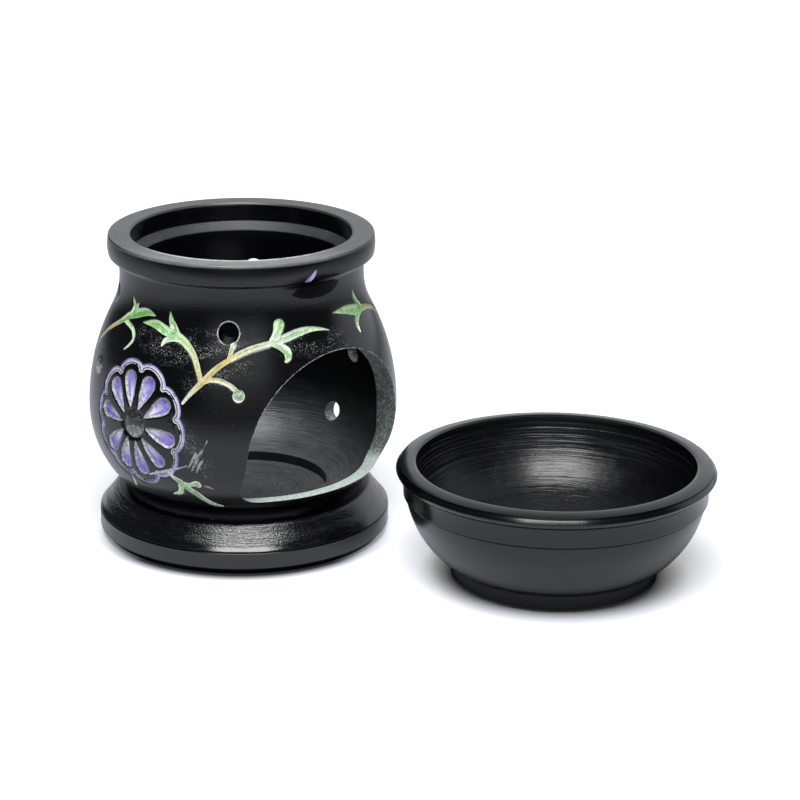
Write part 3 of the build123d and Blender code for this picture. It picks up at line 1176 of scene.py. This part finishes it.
def base_stone(name):
    """Finish of the base: turned stone, brushed in rings on its moulding and polished low on it, with painted
    shade as dull wax in the crease under the pot and in the notch under the moulding.
    """
    finish = Finish(name)
    place = finish.place
    z = finish.parts(place)[2]
    brushed = z.above(*base_brushed)
    shade, roughness, height = waxed(finish, place, brushed, mark_breaks=14.0)
    grain = finish.noise(place, 1900.0, 2.0, 0.6)
    polished = z.below(*base_polished)
    height = (height + grain * brushed) * (1 - polished * 0.7)
    roughness = roughness - brushed * 0.04 - polished * 0.03
    stone = finish.gloss(shade, roughness, finish.bump(height, *base_relief), specular=0.65)
    # Painted shade: dull wax in the crease where the pot meets the base and in the notch under the moulding
    shaded_groove = finish.radius(place).below(*base_shade_groove) * brushed
    return finish.under_wax_and_shade((shaded_groove * 0.9).over(finish.line_round(z, *base_quirk_shade)), stone)


def bowl_stone(name, centre):
    """Finish of the bowl: smooth outside with painted shade lines under its ledges, tool marks inside with
    pale lines that are partly a painted sheen, and painted shade as dull wax on its foot and inner side
    walls.
    """
    finish = Finish(name)
    place = finish.centred(centre)
    radius, z = finish.radius(place), finish.parts(place)[2]
    brushed = radius.below(*bowl_inside) * (z - radius * 0.5).above(*bowl_flank)
    shade, roughness, height = waxed(finish, place, brushed)
    upper = z.above(*bowl_upper) * brushed
    lines = finish.rings(place, bowl_line_pitch, 1.5)
    # Pale tool lines on the upper inner wall, partly a painted sheen
    shade = finish.mix(lines.above(0.57, 0.08) * 0.12 * upper, shade, dust_and_sheen_grey)
    rough_patch = finish.noise(place, 260.0, 5.0, 0.75).above(0.6, 0.15) * brushed
    roughness = roughness + rough_patch * 0.08 + brushed * 0.085
    height = height + rough_patch * 0.35 * finish.noise(place, 1200.0, 3.0, 0.7) + lines * upper * 2.0
    stone = finish.gloss(shade, roughness, finish.bump(height, *bowl_relief))
    # Painted shade: dull wax on the foot under the flank, on the inner side walls and in lines under the
    # ledges
    outside = radius.above(*bowl_outside)
    sideways = finish.sides(place)[0].math("ABSOLUTE") / radius
    shade_wax_share = (z.below(*bowl_foot_shade) * 0.6).over(sideways.above(*bowl_shaded_sides) * brushed * 0.6)
    for line_height, half_width in bowl_shade_lines:
        shade_wax_share = shade_wax_share.over(finish.line_round(z, line_height, half_width) * outside)
    return finish.under_wax_and_shade(shade_wax_share, stone)


def chamber_stone(name):
    """Finish of the candle chamber: turned stone with thin wax, paler and flecked with ash towards the
    bottom, dull black towards the top, and painted shade at the well's step.
    """
    finish = Finish(name)
    place = finish.place
    z = finish.parts(place)[2]
    rings = finish.rings(place, fine_pitch, 5.0)
    broad = finish.rings(place, chamber_pitch, 0.6)
    patches = finish.noise(place, 45.0, 5.0, 0.6)
    fine = finish.noise(place, 1500.0, 3.0, 0.6)
    # Paler and greyer towards the bottom
    low = z.below(*chamber_paler_low)
    ledge = z.above(*chamber_ledge)
    dust = (rings * 0.25 + broad * 0.3 + patches * 0.45).above(0.45, 0.5)
    dust = dust * (low * low + 0.01).over(ledge * 0.12)
    shade = finish.mix(dust, chamber_black, chamber_pale_grey)
    ash = (patches * 0.5 + fine * 0.5).above(0.61, 0.05) * (low * 0.4 + 0.04).over(ledge * 0.3)
    shade = finish.mix(ash, shade, chamber_ash)
    shade = finish.mix((rings.above(0.6, 0.1) * low * 0.25).over(ledge * 0.05), shade, ring_pale)
    shade = finish.mix(rings.below(0.42, 0.1) * low * 0.4, shade, ring_dark)
    smear = finish.node("VectorMath", {"operation": "DISTANCE"}, {0: place, 1: smear_place}, output=1)
    smear = smear.below(*smear_edge) * fine.above(0.52, 0.06)
    shade = finish.mix(smear * 0.55, shade, smear_grey)
    normal = finish.bump(rings * 1.2 + broad * 0.8 + fine * 0.6, *chamber_relief)
    stone = finish.gloss(shade, 0.28 + dust * 0.2 + ledge * 0.25, normal)
    # Dull black towards the top
    dull_top = (z + patches * 0.010).above(*chamber_dull_top) * (1 - ledge) * 0.9
    # Painted shade: dull wax at the well's step
    step = finish.radius(place).above(*well_step_shade) * z.below(*well_step_shade_top) * 0.85
    return finish.under_wax_and_shade(dull_top.over(step), stone)


def painted_leaf(finish, ragged, fine):
    """Paint of stems and leaves: painted light on the upper half and painted shade on the lower half, darker
    blotches, a dark vein, and scraped edges with a painted highlight on the upper side.
    """
    cover = finish.attribute("vine")
    paint = finish.attribute("vine_paint", "Vector")
    side, half, along = finish.parts(finish.attribute("vine_shape", "Vector"))
    broad = finish.noise(finish.place, 330.0, 3.0, 0.6)
    leafy = half.above(0.8, 0.2) * along.above(0.01, 0.02)
    # Painted shade on the lower half of each stroke, and darker blotches at random
    shaded_lower_half = side.below(-0.05, 0.5) * (leafy * 0.5 + 0.5)
    shade_and_blotch_paint = finish.node("VectorMath", {"operation": "MULTIPLY"}, {0: paint, 1: leaf_shade_and_blotch_shares})
    shade = finish.mix((shaded_lower_half * 0.8).over(broad.above(0.55, 0.08) * 0.75), paint, shade_and_blotch_paint)
    # Painted light on the upper half of each leaf
    lit_upper_half = side.above(0.4, 0.3) * broad.above(0.42, 0.1) * leafy
    shade = finish.mix(lit_upper_half * 0.75, shade, leaf_painted_light)
    vein = side.math("ABSOLUTE").below(0.14, 0.14) * leafy * broad.above(0.45, 0.1)
    shade = finish.mix(vein * 0.5, shade, leaf_vein)
    # Pale scraped edges, with a painted highlight stronger on the upper side
    rim = (cover + ragged).below(0.24, 0.16) * (side.above(0.0, 0.6) * 0.7 + 0.2)
    scraped = finish.noise(finish.place, 700.0, 2.0, 0.8).above(0.59, 0.05)
    shade = finish.mix((rim * 0.85).over(scraped * 0.5), shade, leaf_scraped_and_highlight)
    specks = (fine - 0.5).math("ABSOLUTE").above(0.16, 0.04)
    return finish.mix(specks * 0.5, shade, leaf_speck), cover


def painted_petal(finish, ragged, fine):
    """Paint of petals: blotchy purple, deep in the scoop, scraped pale at the edges, with a painted highlight
    on a strip along the inner part.
    """
    cover = finish.attribute("petal")
    side, half, along = finish.parts(finish.attribute("petal_shape", "Vector"))
    streaky = finish.node("CombineXYZ", None, {0: side * 1.6, 1: along * 1.3, 2: half * 40})
    broad = finish.noise(streaky, 2.2, 3.0, 0.65)
    other = finish.noise(finish.place, 420.0, 3.0, 0.6)
    shade = finish.mix(broad.above(0.5, 0.12), petal_blue, petal_deep)
    # Painted highlight on a strip along the inner part of each petal
    highlight_strip = (side - 0.2).math("ABSOLUTE").below(0.5, 0.35)
    painted_highlight = highlight_strip * along.below(0.75, 0.5) * (other * 0.6 + broad * 0.4).above(0.44, 0.05)
    shade = finish.mix(painted_highlight * 0.9, shade, petal_highlight_white)
    rim = (cover + ragged * 3.5).below(0.62, 0.16) * other.above(0.36, 0.1)
    shade = finish.mix(rim * 0.9, shade, petal_rim)
    shade = finish.mix(rim * fine.above(0.53, 0.05) * 0.8, shade, petal_scraped)
    specks = fine.above(0.61, 0.05) * cover.below(0.9, 0.6)
    return finish.mix(specks * 0.7, shade, petal_speck), cover


def painted_carving(finish, shade, ragged, fine, broad):
    """Paint of the carving over the waxed stone, where it lies, and where the wall is sunk."""
    leaf_paint, leaf_cover = painted_leaf(finish, ragged, fine)
    petal_paint, petal_cover = painted_petal(finish, ragged, fine)
    scallop = finish.attribute("scallop")
    band_cover = (0.5 - scallop.math("ABSOLUTE")).over(finish.attribute("loose"))
    line_cover = 0.2 - (scallop - scallop_line_gap).math("ABSOLUTE") - broad.above(0.58, 0.1) * 0.3
    groove_edge = leaf_cover.over(petal_cover).over(band_cover)
    shade = finish.mix((groove_edge + ragged).above(-0.4, 0.3) * 0.95, shade, wax_black)
    band_paint = finish.mix(broad.above(0.52, 0.12), band_light, band_deep)
    band_edge = (band_cover + ragged).below(0.2, 0.12) * (scallop * 4).clamped()
    band_paint = finish.mix(band_edge.over(fine.above(0.6, 0.06) * 0.7), band_paint, band_scraped)
    for cover, ragged_share, start, paint in (
        (band_cover, 0.7, 0.03, band_paint),
        (line_cover, 0.7, 0.02, line_grey),
        (petal_cover, 0.6, 0.03, petal_paint),
        (leaf_cover, 0.6, 0.03, leaf_paint),
    ):
        shade = finish.mix((cover + ragged * ragged_share).above(start, 0.08), shade, paint)
    cut = groove_edge.over(line_cover)
    return shade, cut.above(0.03, 0.1), cut.above(0.04, 0.16)


def bare_button(finish, shade, fine, broad):
    """The flower's middle, bare stone with painted shade on its upper part and painted light on its lower
    part, and where it shows.
    """
    z = finish.parts(finish.place)[2]
    cover = finish.attribute("button")
    # Painted shade on the upper part and painted light on the lower part
    low = (z + broad * 0.003).below(*button_light_line)
    tone = finish.mix(low, button_painted_shade, button_painted_light)
    tone = finish.mix(fine.above(0.56, 0.05) * (low * 0.6 + 0.15), tone, button_speck)
    shade = finish.mix((cover + 0.7).above(0.1, 0.2), shade, wax_black)
    shown = cover.above(0.06, 0.1)
    return finish.mix(shown, shade, tone), shown


def scraped_marks_and_glints(finish, rim_front_sheen_share, ragged, broad):
    """How far the pot's wax is scraped off or dusty: scratches, dust, worn edges, seam and vent ring, with a
    painted glint on the rim's front inner edge.
    """
    place = finish.place
    z = finish.parts(place)[2]
    scratched = (finish.attribute("scratch") + ragged * 1.6).above(0.06, 0.16) * broad.above(0.42, 0.14)
    level_place = finish.node("Mapping", None, {"Vector": place, "Scale": (1, 1, 2.2)})
    wide = finish.noise(level_place, 140.0, 3.0, 0.6).above(0.48, 0.12)
    grains = finish.noise(level_place, 2300.0, 2.0, 0.7).above(0.62, 0.07)
    dust = finish.attribute("dust").above(0.5, 4.0) * grains * wide
    edge = (finish.attribute("edge") + ragged * 1.2).above(-0.2, 0.12) * broad.above(0.46, 0.1)
    edge = edge * z.above(*worn_edge_low)
    # Painted glint along the rim's inner edge on its front
    front_inner_glint = finish.radius(place).below(*inner_glint_radius)
    front_inner_glint = front_inner_glint * rim_front_sheen_share * broad.above(0.4, 0.2)
    seam = z.below(*seam_top) * broad.above(0.6, 0.05)
    vent_ring = (finish.attribute("ring") + ragged * 0.5).above(0.05, 0.16)
    scraped = vent_ring * (broad.above(0.45, 0.2) * 0.6 + 0.3)
    for marks, share in ((scratched, 0.45), (dust, 0.6), (edge, 0.6), (front_inner_glint, 0.85), (seam, 0.5)):
        scraped = scraped.over(marks * share)
    return scraped


def carved_stone(name):
    """Finish of the pot: waxed stone with painted carving, worn edges and a drip of thick wax, with painted
    shade in the waist's groove and a painted sheen and glint on the rim's front.
    """
    finish = Finish(name)
    place = finish.place
    z = finish.parts(place)[2]
    rim_top = z.above(*pot_rim_top)
    rim_front_sheen_share = rim_top * finish.sides(place)[1].above(*rim_sheen_front)
    shade, roughness, height = waxed(finish, place, rim_top * 0.8 + 0.12)
    fine = finish.noise(place, 1000.0, 4.0, 0.65)
    broad = finish.noise(place, 240.0, 4.0, 0.65)
    ragged = (fine - 0.5) * 0.22
    shade = finish.mix(rim_top * 0.35, shade, dust_and_sheen_grey)
    # Grey on the rim top's front: dust and a painted sheen
    shade = finish.mix(rim_front_sheen_share * (broad * 0.6 + 0.12), shade, rim_dust_and_sheen)
    shade, painted, sunk = painted_carving(finish, shade, ragged, fine, broad)
    shade, button = bare_button(finish, shade, fine, broad)
    scraped = scraped_marks_and_glints(finish, rim_front_sheen_share, ragged, broad)
    shade = finish.mix(scraped, shade, scraped_and_glint_white)
    roughness = roughness - button * 0.06 + painted * 0.22 + scraped * 0.3 + rim_top * 0.12
    height = height + fine * 0.6 * painted - sunk * 1.2 + scraped * 0.3
    stone = finish.gloss(shade, roughness.clamped(), finish.bump(height, *pot_relief))
    drip = (finish.attribute("drip") + (broad - 0.5) * 1.5).above(0.1, 0.2)
    # Painted shade: dull wax in the waist's groove under the belly
    shaded_groove = z.below(*waist_shade_groove) * 0.85
    return finish.under_wax_and_shade(drip.over(shaded_groove), stone)


def bare_stone(name):
    """Finish of cut faces: bare soapstone, grey-green and scratched by the saw, palest on the sill."""
    finish = Finish(name)
    place = finish.place
    z = finish.parts(place)[2]
    stretched = finish.node("Mapping", None, {"Vector": place, "Scale": (500, 160, 500)})
    streaks = finish.noise(stretched, 1.0, 4.0, 0.65)
    blotches = finish.noise(place, 300.0, 5.0, 0.65)
    fine = finish.noise(place, 1600.0, 2.0, 0.6)
    sill = z.below(*sill_top)
    tone = (streaks * 0.3 + blotches * 0.3 + fine * 0.4).above(0.52, 0.2) * 0.55 + sill * 0.9
    shade = finish.mix(tone.clamped(), stone_grey, stone_pale)
    shade = finish.mix(fine.above(0.6, 0.05) * 0.45, shade, bare_speck)
    shade = finish.mix(fine.below(0.42, 0.05) * 0.4, shade, bare_pit)
    normal = finish.bump(streaks + fine * 0.6, *bare_relief)
    return finish.ended(finish.gloss(shade, 0.45 + blotches * 0.25, normal))


def assign_inside(piece, material, inside):
    """Gives a material to the faces whose centre, in millimetres, passes the inside test."""
    mesh = piece.data
    mesh.materials.append(material)
    slot = len(mesh.materials) - 1
    for face in mesh.polygons:
        x, y, z = face.center / mm
        if inside(hypot(x, y), z):
            face.material_index = slot


# How far a face's middle may lie past the drawn edge of its part, in millimetres
face_margin = 0.1
chamber_margin = 0.3
floor_margin = 0.01
well_margin = 0.5


def in_chamber(radius, height):
    """Whether a face of the pot lies in the chamber or on the bowl's seat."""
    seat_top = burner_height - rebate_depth
    seat = height < seat_top + face_margin and radius < rebate_radius + face_margin
    wall = np.interp(height, wall_heights, wall_radii) if height > waist_arris[1] else waist_arris[0]
    chamber = height < seat_top and radius < wall - waist_wall_thickness + chamber_margin
    return height > base_height + floor_margin and (seat or chamber)


def in_well(radius, height):
    """Whether a face of the base lies in the candle's well."""
    well_floor = base_height - candle_well_depth
    return height > well_floor - well_margin and radius < candle_hole_radius + floor_margin


def make_pot(chamber_finish):
    """The pot: turned, cut open and carved."""
    pot = turned("carved_pot", pot_outline())
    refine_carving(pot)
    pot.data.materials.append(carved_stone("carved_soapstone"))
    assign_inside(pot, chamber_finish, in_chamber)
    cut_openings(pot, bare_stone("bare_soapstone"))
    carve_pot(pot)
    return pot


def make_base(chamber_finish):
    """The base under the pot, with the candle's well."""
    base = turned("turned_base", base_outline())
    base.data.materials.append(base_stone("black_soapstone"))
    assign_inside(base, chamber_finish, in_well)
    return base


def make_bowl():
    """The bowl, turned about the burner's axis and set down at its own place."""
    bowl = turned("turned_bowl", bowl_outline())
    bowl.location = bowl_centre
    pick(bowl)
    bpy.ops.object.transform_apply(location=True, rotation=True, scale=True)
    bowl.data.materials.append(bowl_stone("bowl_soapstone", bowl_centre))
    return bowl


def smooth(piece, angle):
    """Shades a piece smooth, with edges sharper than an angle left crisp."""
    pick(piece)
    bpy.ops.object.shade_smooth_by_angle(angle=radians(angle))


# The set: camera, floor, white surround and lamps

# Stage and lamp: lengths in metres, turns in degrees, power in watts
floor_radius = 2.2
surround_radius = 1.9
surround_height = 3.4
lamp_bearing = camera_heading + 2
lamp_elevation = 65
lamp_distance = 0.9
lamp_width = 0.58
lamp_height = 0.64
lamp_power = 13.4
world_colour = colour(0.9, 0.95, 1.0)
world_strength = 0.05

# Floor: a painted contact shadow where the burner stands, pushed towards the camera, and where the floor's
# glow clears, held back as painted shade near the burner and the bowl
shadow_shift = 0.0016
contact_shadow_edge = (0.0403, 0.0045)
burner_shade_halo = (0.0414, 0.006)
bowl_shade_halo = (0.0285, 0.010)
outer_floor = (0.22, 0.3)
floor_front = (0.27, 0.2)
shadow_side_front = (0.016, 0.03)
floor_pale = colour(0.68, 0.69, 0.76)
floor_front_grey = colour(0.170, 0.174, 0.206)
contact_shadow_black = colour(0.02, 0.02, 0.02)

# Surround as gloss sees it, in metres: white far off, and grey round the camera in steps of height
surround_far = (0.67, 0.5)
surround_far_right = (0.9, 0.5)
surround_top = (1.9, 2.6)
middle_half_width, middle_fade = 0.8, 0.4
middle_front = (1.2, 0.6)
middle_top = (1.6, 0.2)
middle_low = (0.25, 0.3)
middle_high = (0.6, 0.3)
surround_tint = colour(0.92, 0.94, 1.0)
unlit = colour(0, 0, 0)
lit = colour(1, 1, 1)


def add_camera():
    """Camera at the photograph's place."""
    turn = radians(camera_bearing)
    data = bpy.data.cameras.new("camera")
    data.lens = camera_lens
    data.sensor_width = sensor_width
    camera = bpy.data.objects.new("camera", data)
    bpy.context.scene.collection.objects.link(camera)
    place = (camera_distance * sin(turn) * mm, -camera_distance * cos(turn) * mm, camera_height * mm)
    heading = Matrix.Rotation(radians(camera_heading), 4, "Z")
    pitch = Matrix.Rotation(radians(90 - camera_pitch), 4, "X")
    roll = Matrix.Rotation(radians(camera_roll), 4, "Z")
    camera.matrix_world = Matrix.Translation(place) @ heading @ pitch @ roll
    bpy.context.scene.camera = camera


def seen_share(finish, *rays):
    """1 for the named rays and 0 for the rest."""
    shares = [finish.node("LightPath", output="Is %s Ray" % name) for name in rays]
    total = shares[0]
    for share in shares[1:]:
        total = total.over(share)
    return total


def beyond(finish, centre, start, width):
    """Rises from 0 to 1 with the distance from an upright axis, past a start."""
    return finish.radius(finish.centred(centre)).above(start + width / 2, width)


def floor_finish():
    """Pale matt floor that the camera sees as white, with the object's shadows kept, a painted contact shadow
    on the burner's camera side, and painted shade where the glow is held back near the burner and the bowl.
    """
    finish = Finish("pale_floor")
    turn = radians(camera_heading)
    shadow_centre = (shadow_shift * sin(turn), shadow_shift * -cos(turn), 0)
    front = finish.sides(finish.place)[1]
    front_floor = front.above(*floor_front)
    shadow_side = front.above(*shadow_side_front)
    # Painted contact shadow: a dark ring on the floor on the burner's camera side
    painted_contact_shadow = (1 - beyond(finish, shadow_centre, *contact_shadow_edge)) * shadow_side
    shade = finish.mix(front_floor, floor_pale, floor_front_grey)
    shade = finish.mix(painted_contact_shadow, shade, contact_shadow_black)
    diffuse = finish.node("BsdfDiffuse", None, {"Color": shade})
    # Painted shade: the floor's glow is held back near the burner's camera side and round the bowl's foot
    clear = 1 - (1 - beyond(finish, shadow_centre, *burner_shade_halo)) * shadow_side
    clear = clear * beyond(finish, bowl_centre, *bowl_shade_halo)
    outer = beyond(finish, (0, 0, 0), *outer_floor)
    strength = 0.02 + clear * 0.46 + front_floor * 0.5 + outer * 0.45
    glow = finish.node("Emission", None, {"Color": strength * seen_share(finish, "Camera"), "Strength": 1.0})
    return finish.ended(finish.node("AddShader", None, {0: diffuse, 1: glow}))


def surround_finish():
    """White surround. The gloss of the stone sees it white behind, dark at the sides, grey in front."""
    finish = Finish("white_surround")
    z = finish.parts(finish.place)[2]
    right, front = finish.sides(finish.place)
    white = (right * 0.27 - front).above(*surround_far) * (right * 0.9 - front).above(*surround_far_right)
    white = white * (1 - z.above(*surround_top) * 0.7)
    middle = (middle_half_width - right.math("ABSOLUTE")).above(0.0, middle_fade)
    middle = middle * front.above(*middle_front) * z.below(*middle_top)
    middle = middle * (0.18 + z.above(*middle_low) * 0.3 + z.above(*middle_high) * 0.35)
    mirrored = white.over(middle).over(0.06)
    glossy = finish.mix(mirrored * seen_share(finish, "Glossy"), unlit, surround_tint)
    shade = finish.mix(seen_share(finish, "Camera", "Transmission"), glossy, lit)
    return finish.ended(finish.node("Emission", None, {"Color": shade, "Strength": 1.0}))


def add_floor():
    """Round floor under the burner and the bowl."""
    floor = start_piece("floor", "circle", vertices=stage_sides, radius=floor_radius, fill_type="NGON")
    finish_piece(floor)
    floor.data.materials.append(floor_finish())


def add_surround():
    """Tall ring round the floor."""
    wall = start_piece("surround", "plane", size=mm)
    bpy.ops.mesh.merge(type="CENTER")
    bpy.ops.transform.translate(value=(surround_radius, 0, 0))
    bpy.ops.mesh.extrude_vertices_move(TRANSFORM_OT_translate={"value": (0, 0, surround_height)})
    bpy.ops.mesh.select_all(action="SELECT")
    bpy.ops.mesh.spin(steps=stage_sides, angle=tau, center=(0, 0, 0), axis=(0, 0, 1))
    finish_piece(wall)
    wall.data.materials.append(surround_finish())


def add_lamp():
    """Soft lamp over the camera, aimed at the burner."""
    data = bpy.data.lights.new("front_softbox", "AREA")
    data.shape = "RECTANGLE"
    data.size = lamp_width
    data.size_y = lamp_height
    data.energy = lamp_power
    lamp = bpy.data.objects.new("front_softbox", data)
    bpy.context.scene.collection.objects.link(lamp)
    heading = Matrix.Rotation(radians(lamp_bearing), 4, "Z")
    tilt = Matrix.Rotation(pi / 2 - radians(lamp_elevation), 4, "X")
    lamp.matrix_world = heading @ tilt @ Matrix.Translation((0, 0, lamp_distance))


def add_world():
    """Dim, even light from all round."""
    world = bpy.data.worlds.new("dim_room")
    world.use_nodes = True
    background = world.node_tree.nodes["Background"]
    background.inputs["Color"].default_value = world_colour
    background.inputs["Strength"].default_value = world_strength
    bpy.context.scene.world = world


chamber_finish = chamber_stone("chamber_soapstone")
pieces = [
    (make_pot(chamber_finish), "burner", "burner_pot", "carved_soapstone", pot_crease),
    (make_base(chamber_finish), "burner", "burner_base", "black_soapstone", other_crease),
    (make_bowl(), "bowl", "oil_bowl", "bowl_soapstone", other_crease),
]
for piece, body, node, slot, angle in pieces:
    smooth(piece, angle)
    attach(piece, body)
    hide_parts(node)

add_camera()
add_floor()
add_surround()
add_lamp()
add_world()
bpy.context.scene.view_settings.view_transform = "Standard"
